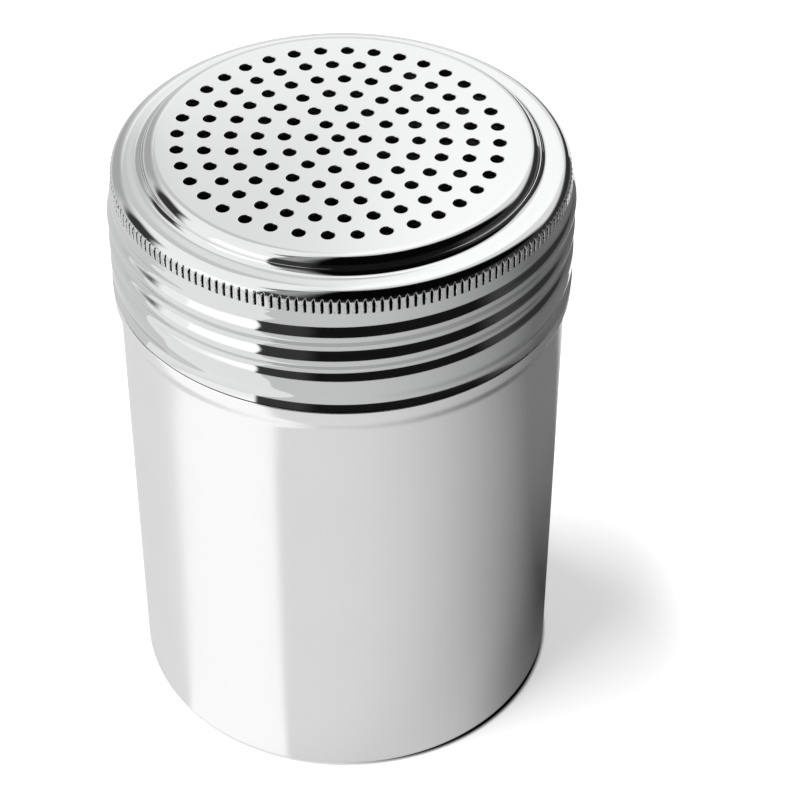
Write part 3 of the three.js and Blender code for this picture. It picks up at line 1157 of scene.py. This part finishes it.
@dataclass
class Studio:
    """The white table, the two lamps, the room that the metal shows, and the camera.

    Args:
        deck: The height of the lid's deck, which the camera was fitted from.
        pitch: The hole pitch that scales the camera's place.
        lamps: The name, azimuth and elevation of each lamp, the last two in degrees.
        back_edge: The turn of an edge's normal in degrees from +X, and its distance from the axis along it.
        strip_edge: The same for the edge that the bright strip ends at.
        edge_blur: How far each side of an edge it fades over.
        back_sector: The cosines from the back side where the even part behind starts and is full.
        contact_centre: The centre of the round dark place under the can, painted as contact shade.
        contact_fade: The distances from it where the table starts to show and shows wholly.
        shade_centre: The centre of the soft round patch that stands for the shadow in the metal.
        shade_fade: The distances from it where the patch starts to fade and is gone.
        shade_tone: The share of the tone that is left in the patch.
        camera_white: How much brighter than white the table is to the camera, so that it clips evenly.
        camera_matt: The share of matt white, which takes the shadow, in what the camera sees.
        metal_matt: The same share in what the metal sees.
    """

    deck: float
    pitch: float
    focal_pixels: float = 2405.6
    frame_pixels: float = 800
    sensor: float = 36
    tilt: float = 0.71076
    roll: float = 0.00895
    camera_pitches: tuple[float, float, float] = (2.2655, -73.8807, 50.8620)
    lamps: tuple[tuple[str, float, float], ...] = (("key_softbox", -147, 70), ("back_softbox", 157, 69))
    lamp_distance: float = 2
    lamp_size: float = 0.55
    lamp_radiance: float = 52
    floor_half: float = 3
    floor_colour: str = "#F4F4F4"
    floor_middle: float = 0.185
    floor_swing: float = 0.49
    floor_least: float = 0.04
    floor_strip: float = 1.01
    floor_back: float = 0.69
    floor_bright_side: float = -100
    floor_back_side: float = 165
    back_edge: tuple[float, float] = (83, -25.2 * MM)
    strip_edge: tuple[float, float] = (-35.2, 11.6 * MM)
    edge_blur: float = 0.8 * MM
    back_sector: tuple[float, float] = (0.16, 0.26)
    contact_centre: tuple[float, float, float] = (1.9 * MM, -0.95 * MM, 0)
    contact_fade: tuple[float, float] = (31.35 * MM, 32.25 * MM)
    shade_centre: tuple[float, float, float] = (27 * MM, -3 * MM, 0)
    shade_fade: tuple[float, float] = (12 * MM, 28 * MM)
    shade_tone: float = 0.5
    camera_white: float = 1.05
    camera_matt: float = 0.47
    metal_matt: float = 0.08

    def add_camera(self) -> None:
        """Places the camera that was fitted to the photograph's holes and outline."""
        right = Vector((1, 0, 0))
        up = Vector((0, math.sin(self.tilt), math.cos(self.tilt)))
        back = right.cross(up)
        turned_right = right * math.cos(self.roll) + up * math.sin(self.roll)
        turned_up = up * math.cos(self.roll) - right * math.sin(self.roll)
        place = Vector(self.camera_pitches) * self.pitch + Vector((0, 0, self.deck))
        data = bpy.data.cameras.new("camera")
        data.sensor_width = self.sensor
        data.lens = self.sensor * self.focal_pixels / self.frame_pixels
        data.clip_start = 10 * MM
        camera = bpy.data.objects.new("camera", data)
        turn = Matrix((turned_right, turned_up, back)).transposed().to_4x4()
        camera.matrix_world = Matrix.Translation(place) @ turn
        bpy.context.scene.collection.objects.link(camera)
        bpy.context.scene.camera = camera

    def add_softbox(self, name: str, azimuth: float, elevation: float) -> None:
        """Adds an even square lamp that faces the shaker. The metal shows the room's cards instead of it.

        Args:
            name: The lamp's name.
            azimuth: Its direction from the shaker about Z, in degrees from +X.
            elevation: Its direction above the table in degrees.
        """
        data = bpy.data.lights.new(name, "AREA")
        data.shape = "RECTANGLE"
        data.size = data.size_y = self.lamp_size
        data.energy = math.pi * self.lamp_size ** 2 * self.lamp_radiance
        lamp = bpy.data.objects.new(name, data)
        lift = math.radians(elevation)
        towards = Vector(level_way(azimuth)) * math.cos(lift) + Vector((0, 0, math.sin(lift)))
        lamp.location = towards * self.lamp_distance + Vector((0, 0, self.deck / 2))
        lamp.rotation_euler = towards.to_track_quat("Z", "Y").to_euler()
        lamp.visible_glossy = False
        lamp.visible_camera = False
        bpy.context.scene.collection.objects.link(lamp)

    def past_edge(self, tree: Tree, place: Socket, edge: tuple[float, float]) -> Socket:
        """Tells which side of a straight edge on the table a place is: smoothstep(place . normal - away).

        Args:
            tree: The table's node tree.
            place: The place on the table.
            edge: The turn of the edge's normal and its distance from the axis.

        Returns:
            One past the edge and zero before it.
        """
        turn, away = edge
        along = add_node(
            tree, "ShaderNodeVectorMath", {0: place, 1: level_way(turn)}, operation="DOT_PRODUCT"
        ).outputs["Value"]
        return add_node(
            tree, "ShaderNodeMapRange", {0: along, 1: away - self.edge_blur, 2: away + self.edge_blur},
            interpolation_type="SMOOTHSTEP",
        ).outputs[0]

    def painted_light_for_metal(self, tree: Tree, place: Socket) -> Socket:
        """The painted light and shade of the table that the metal shows.

        It is painted paler towards the lit side: max(least, middle + swing * cos(angle from that side)). A
        painted bright strip of light lies between two straight edges, and the part behind the first of them
        is even too.
        The shaker's shadow beside its base is painted as a soft round patch.

        Args:
            tree: The table's node tree.
            place: The place on the table.

        Returns:
            The tone.
        """
        way = add_node(tree, "ShaderNodeVectorMath", {0: place}, operation="NORMALIZE").outputs[0]
        towards, behind = (
            add_node(
                tree, "ShaderNodeVectorMath", {0: way, 1: level_way(side)}, operation="DOT_PRODUCT"
            ).outputs["Value"]
            for side in (self.floor_bright_side, self.floor_back_side)
        )
        swung = add_node(
            tree, "ShaderNodeMath", {0: towards, 1: self.floor_swing, 2: self.floor_middle},
            operation="MULTIPLY_ADD",
        ).outputs[0]
        tone = add_node(
            tree, "ShaderNodeMath", {0: swung, 1: self.floor_least}, operation="MAXIMUM"
        ).outputs[0]
        sector = add_node(
            tree, "ShaderNodeMapRange", {0: behind, 1: self.back_sector[0], 2: self.back_sector[1]},
            interpolation_type="SMOOTHSTEP",
        ).outputs[0]
        past = [self.past_edge(tree, place, edge) for edge in (self.back_edge, self.strip_edge)]
        patch = add_node(tree, "ShaderNodeMath", {0: sector, 1: past[0]}, operation="MULTIPLY").outputs[0]
        stripped = add_node(
            tree, "ShaderNodeMix", {0: past[1], 2: self.floor_strip, 3: tone}, data_type="FLOAT"
        ).outputs[0]
        toned = add_node(
            tree, "ShaderNodeMix", {0: patch, 2: stripped, 3: self.floor_back}, data_type="FLOAT"
        ).outputs[0]
        beside = add_node(
            tree, "ShaderNodeVectorMath", {0: place, 1: self.shade_centre}, operation="DISTANCE"
        ).outputs["Value"]
        shade = add_node(
            tree, "ShaderNodeMapRange",
            {0: beside, 1: self.shade_fade[0], 2: self.shade_fade[1], 3: self.shade_tone, 4: 1.0},
            interpolation_type="SMOOTHSTEP",
        ).outputs[0]
        return add_node(tree, "ShaderNodeMath", {0: toned, 1: shade}, operation="MULTIPLY").outputs[0]

    def add_floor(self) -> None:
        """Adds the white table. The camera sees it white with a soft shadow, the metal with painted light
        and shade.

        No light reaches the ring where the base corner curves over the table, so it is painted dark.
        """
        half = self.floor_half
        corners = [(-half, -half, 0), (half, -half, 0), (half, half, 0), (-half, half, 0)]
        mesh = bpy.data.meshes.new("table")
        mesh.from_pydata(corners, [], [(0, 1, 2, 3)])
        table = bpy.data.objects.new("table", mesh)
        bpy.context.scene.collection.objects.link(table)
        # White laminate gives the eye an even matt white that runs on into the background.
        material = bpy.data.materials.new("white_laminate_table")
        tree = cleared(material)
        place = add_node(tree, "ShaderNodeTexCoord").outputs["Object"]
        nearby = add_node(
            tree, "ShaderNodeVectorMath", {0: place, 1: self.contact_centre}, operation="DISTANCE"
        ).outputs["Value"]
        open_share = add_node(
            tree, "ShaderNodeMapRange", {0: nearby, 1: self.contact_fade[0], 2: self.contact_fade[1]},
            interpolation_type="SMOOTHSTEP",
        ).outputs[0]
        # The metal sees the table glow with painted light and shade; the camera sees it white with a painted
        # contact ring.
        pale, white = (
            add_node(tree, "ShaderNodeEmission", {
                "Color": WHITE,
                "Strength": add_node(
                    tree, "ShaderNodeMath", {0: open_share, 1: tone}, operation="MULTIPLY"
                ).outputs[0],
            })
            for tone in (self.painted_light_for_metal(tree, place), self.camera_white)
        )
        plain = add_node(tree, "ShaderNodeBsdfDiffuse", {"Color": linear(self.floor_colour)})
        matt = add_node(tree, "ShaderNodeBsdfDiffuse", {"Color": open_share})
        shown = add_node(
            tree, "ShaderNodeMixShader", {0: self.metal_matt, 1: pale.outputs[0], 2: plain.outputs[0]}
        )
        seen = add_node(
            tree, "ShaderNodeMixShader", {0: self.camera_matt, 1: white.outputs[0], 2: matt.outputs[0]}
        )
        whole = by_ray(tree, plain, shown, seen)
        add_node(tree, "ShaderNodeOutputMaterial", {"Surface": whole.outputs[0]})
        mesh.materials.append(material)

    def add_room(self) -> None:
        """Sets the world: white to the camera, even to matt surfaces, and to metal a room of cards.

        The room is pale behind and on the left, and dark on the camera's side and on the right.
        """
        world = bpy.data.worlds.new("room")
        bpy.context.scene.world = world
        tree = cleared(world)
        way = add_node(tree, "ShaderNodeTexCoord").outputs["Generated"]
        across, along, up = add_node(tree, "ShaderNodeSeparateXYZ", {0: way}).outputs
        turn = add_node(tree, "ShaderNodeMath", {0: across, 1: along}, operation="ARCTAN2").outputs[0]
        lift = add_node(tree, "ShaderNodeMath", {0: up}, operation="ARCSINE").outputs[0]
        bearing, elevation = (
            add_node(tree, "ShaderNodeMath", {0: angle}, operation="DEGREES").outputs[0]
            for angle in (turn, lift)
        )
        shown: Socket | float = ROOM
        for card in CARDS:
            shown = card.lay(tree, bearing, elevation, shown)
        even, metal, white = (
            add_node(tree, "ShaderNodeBackground", {"Color": WHITE, "Strength": strength})
            for strength in (EVEN_LIGHT, shown, 1.0)
        )
        whole = by_ray(tree, even, metal, white)
        add_node(tree, "ShaderNodeOutputWorld", {"Surface": whole.outputs[0]})

    def build(self) -> None:
        """Sets up the camera, the table, the lamps and the room."""
        self.add_camera()
        self.add_floor()
        for lamp in self.lamps:
            self.add_softbox(*lamp)
        self.add_room()
        bpy.context.scene.view_settings.view_transform = "Standard"


def main() -> None:
    logging.basicConfig(level=logging.INFO, format="%(name)s: %(message)s")
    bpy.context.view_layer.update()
    lid_low, lid_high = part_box("perforated_lid")
    can_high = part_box("can")[1]
    lid = Lid(deck=lid_high[2], edge=lid_low[2], wall=WALL_RADIUS)
    can = Can(thread=lid.thread, radius=WALL_RADIUS, mouth=can_high[2], lid_edge=lid.edge)
    Studio(deck=lid.deck, pitch=lid.hole_pitch).build()
    for piece in (lid.build(), can.build()):
        LOG.info("%s: %d triangles", piece.name, len(piece.data.polygons))


if __name__ == "__main__":
    main()
